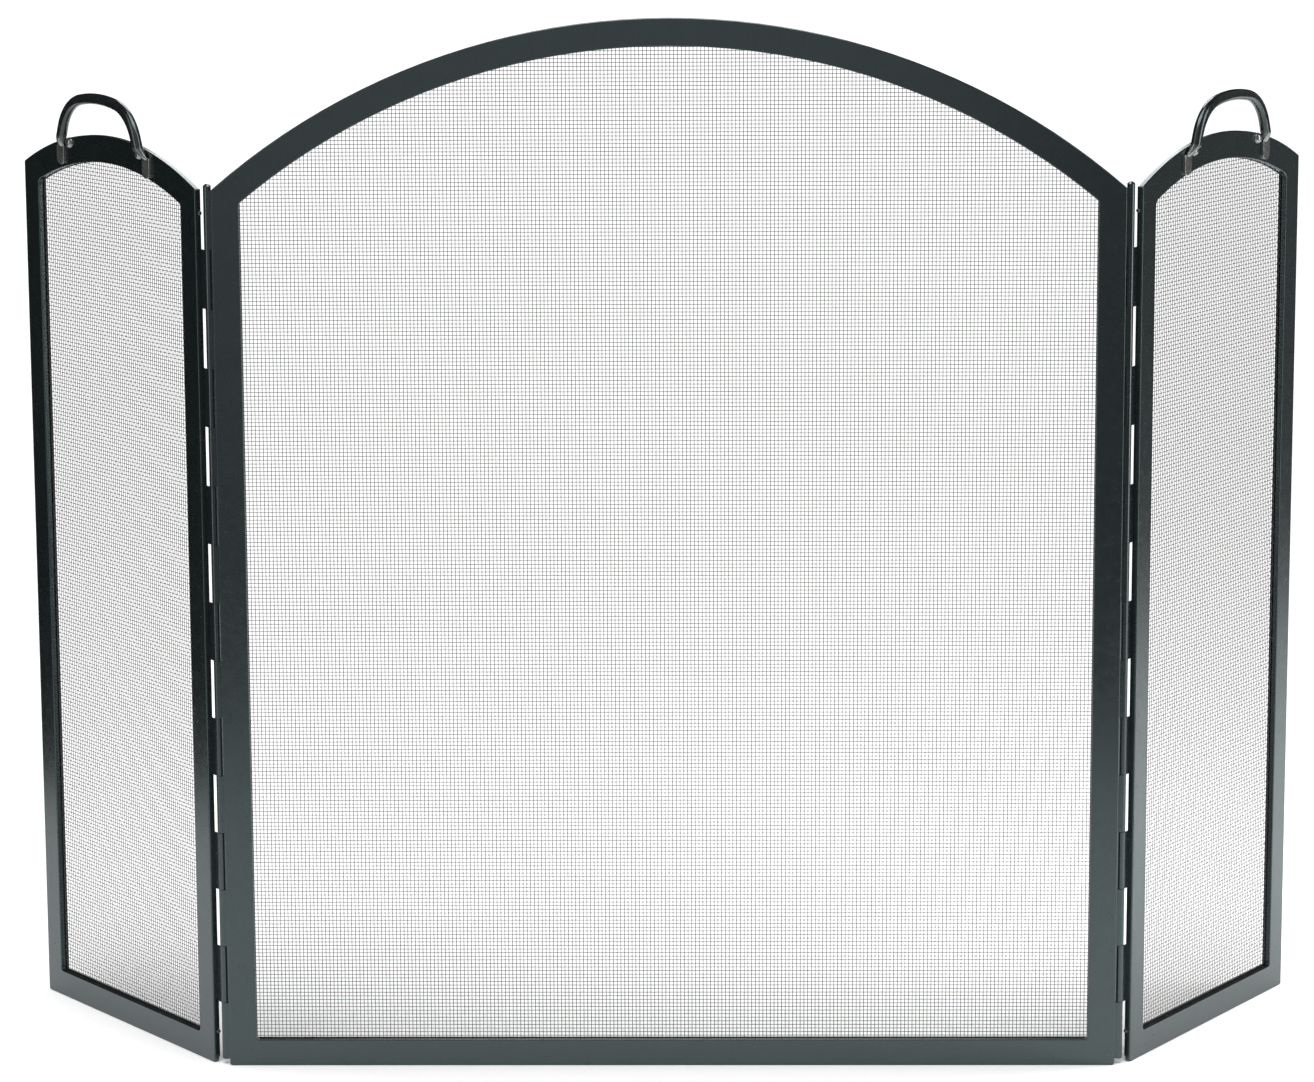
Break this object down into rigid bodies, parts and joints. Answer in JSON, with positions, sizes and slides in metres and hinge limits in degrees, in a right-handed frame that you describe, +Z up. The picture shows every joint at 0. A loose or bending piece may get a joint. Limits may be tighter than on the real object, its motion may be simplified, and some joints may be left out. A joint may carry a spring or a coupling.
{
  "type": "fireplace screen",
  "caption": "Free-standing three-fold fireplace screen: arched steel frames with woven wire mesh, folding side panels on long pin hinges, and a forged loop handle on each side panel.",
  "frame": {"origin": "on the floor, in the middle of the centre panel's bottom rail", "axes": "+X along the centre panel to the right seen from the room, +Y towards the fire, +Z up"},
  "size_m": [1.1106, 0.2451, 0.8905],
  "materials": {
    "frame_coating": "fine satin powder coat, graphite",
    "retainer_strip": "satin black paint",
    "mesh_wire": "woven bright steel wire",
    "hinge_steel": "satin powder coat over rolled steel, graphite",
    "hinge_pin_steel": "bright steel",
    "handle_iron": "forged and burnished, pewter",
    "rivet_steel": "domed, burnished"
  },
  "bodies": {
    "centre_panel": {"centre_left_stile": "frame_coating", "centre_right_stile": "frame_coating", "centre_bottom_rail": "frame_coating", "centre_arch": "frame_coating", "centre_mesh": "mesh_wire", "centre_left_retainer": "retainer_strip", "centre_right_retainer": "retainer_strip", "centre_bottom_retainer": "retainer_strip", "centre_arch_retainer": "retainer_strip", "left_hinge_centre_leaf": "hinge_steel", "left_hinge_pin": "hinge_pin_steel", "right_hinge_centre_leaf": "hinge_steel", "right_hinge_pin": "hinge_pin_steel"},
    "left_panel": {"left_inner_stile": "frame_coating", "left_outer_stile": "frame_coating", "left_bottom_rail": "frame_coating", "left_arch": "frame_coating", "left_mesh": "mesh_wire", "left_inner_retainer": "retainer_strip", "left_outer_retainer": "retainer_strip", "left_bottom_retainer": "retainer_strip", "left_arch_retainer": "retainer_strip", "left_handle": "handle_iron", "left_arch_rivets": "rivet_steel", "left_hinge_side_leaf": "hinge_steel", "left_hinge_tack_welds": "hinge_steel"},
    "right_panel": {"right_inner_stile": "frame_coating", "right_outer_stile": "frame_coating", "right_bottom_rail": "frame_coating", "right_arch": "frame_coating", "right_mesh": "mesh_wire", "right_inner_retainer": "retainer_strip", "right_outer_retainer": "retainer_strip", "right_bottom_retainer": "retainer_strip", "right_arch_retainer": "retainer_strip", "right_handle": "handle_iron", "right_arch_rivets": "rivet_steel", "right_hinge_side_leaf": "hinge_steel", "right_hinge_tack_welds": "hinge_steel"}
  },
  "joints": [
    {"name": "left_hinge", "type": "hinge", "parent": "centre_panel", "child": "left_panel", "pos_m": [-0.3807, 0.00555, 0.378], "axis": [0, 0, -1], "range_deg": [-124, 124]},
    {"name": "right_hinge", "type": "hinge", "parent": "centre_panel", "child": "right_panel", "pos_m": [0.3807, 0.00555, 0.378], "axis": [0, 0, 1], "range_deg": [-128.2, 119.8]}
  ]
}
